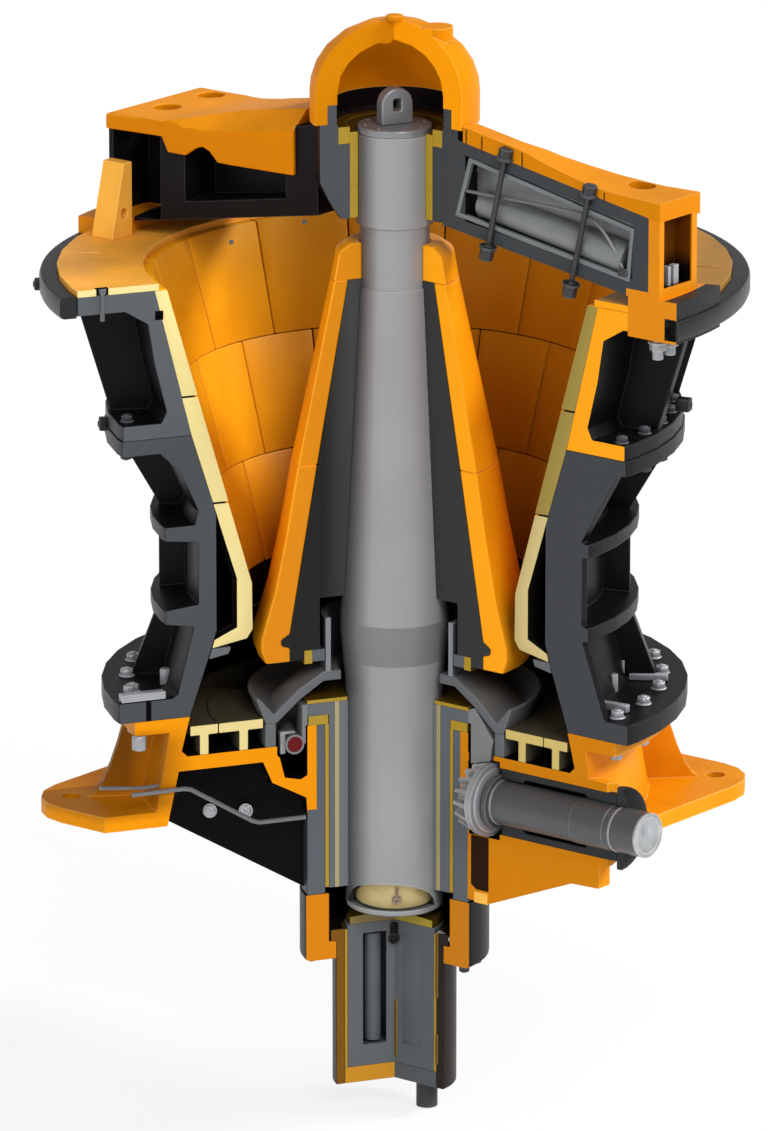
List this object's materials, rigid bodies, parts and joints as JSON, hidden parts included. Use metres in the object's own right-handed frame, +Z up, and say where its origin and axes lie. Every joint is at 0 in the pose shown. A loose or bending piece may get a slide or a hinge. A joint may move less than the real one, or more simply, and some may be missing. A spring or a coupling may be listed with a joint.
{
  "type": "sectioned gyratory crusher",
  "caption": "Primary gyratory crusher with a third of its castings cut away to show mantle, concaves, eccentric, bevel drive and setting cylinder.",
  "frame": {"origin": "On the underside of the left mounting foot, 2.3 m from the crusher's axis; z = 0 is the plane of the foot undersides.", "axes": "+Z up along the crusher's axis; +Y away from the cut-away side, so -Y faces the viewer; +X to the viewer's right."},
  "size_m": [5.78, 4.3502, 9.2503],
  "materials": {
    "orange_paint": "satin",
    "grey_casting": "satin",
    "machined_steel": "satin",
    "bearing_bronze": "satin",
    "wear_liner": "matte",
    "oil_red": "satin"
  },
  "bodies": {
    "crusher_frame": {"base": "orange_paint", "spider": "orange_paint", "arm_guard_left": "orange_paint", "arm_guard_right": "orange_paint", "rim_plate": "orange_paint", "spider_cap": "orange_paint", "hub_retaining_ring": "orange_paint", "rim_bracket": "orange_paint", "bottom_shell": "grey_casting", "top_shell": "grey_casting", "rim_ring": "grey_casting", "hub_insert": "grey_casting", "countershaft_housing": "grey_casting", "countershaft_seal_flange": "grey_casting", "setting_cylinder": "grey_casting", "cylinder_cover": "grey_casting", "dust_bonnet": "machined_steel", "bonnet_support_ring": "machined_steel", "dust_seal_sleeve": "machined_steel", "concave_ledge": "machined_steel", "eccentric_outer_bush": "bearing_bronze", "eccentric_thrust_ring": "bearing_bronze", "spider_bush_lower": "bearing_bronze", "spider_bush_upper": "bearing_bronze", "bush_keeper": "bearing_bronze", "cylinder_liner": "bearing_bronze", "oil_pipe": "bearing_bronze", "oil_drain_stub": "bearing_bronze", "upper_concaves": "wear_liner", "middle_concaves": "wear_liner", "lower_concaves": "wear_liner", "floor_liner_inner": "wear_liner", "floor_liner_outer": "wear_liner"},
    "eccentric_assembly": {"eccentric": "grey_casting", "eccentric_inner_bush": "bearing_bronze", "eccentric_sleeve": "machined_steel", "eccentric_wear_ring": "bearing_bronze", "bevel_gear": "machined_steel", "balance_tube": "machined_steel", "balance_core": "oil_red"},
    "countershaft_assembly": {"countershaft": "machined_steel", "pinion": "machined_steel"},
    "setting_piston": {"piston": "grey_casting", "step_bearing": "bearing_bronze"},
    "main_shaft_assembly": {"main_shaft": "machined_steel", "shaft_step_washer": "machined_steel", "shaft_top_plate": "machined_steel", "lifting_eye": "machined_steel", "head_core": "grey_casting", "upper_mantle": "orange_paint", "lower_mantle": "orange_paint", "head_nut": "orange_paint", "head_seal_ring": "bearing_bronze", "head_seal_retainer": "machined_steel"}
  },
  "joints": [
    {"name": "eccentric_spin", "type": "hinge", "parent": "crusher_frame", "child": "eccentric_assembly", "pos_m": [2.2216, 0.5953, 0.4], "axis": [0, 0, 1], "continuous": true},
    {"name": "countershaft_spin", "type": "hinge", "parent": "crusher_frame", "child": "countershaft_assembly", "pos_m": [3.6073, -0.2047, 0.2], "axis": [0.866, -0.5, 0], "continuous": true},
    {"name": "setting_slide", "type": "slide", "parent": "crusher_frame", "child": "setting_piston", "axis": [0, 0, 1], "range_m": [0, 0.15]},
    {"name": "head_spin", "type": "hinge", "parent": "setting_piston", "child": "main_shaft_assembly", "pos_m": [2.2216, 0.5953, 2], "axis": [0, 0, 1], "continuous": true}
  ],
  "couplings": [
    {"joint": "countershaft_spin", "follows": "eccentric_spin", "ratio": -3.5}
  ]
}
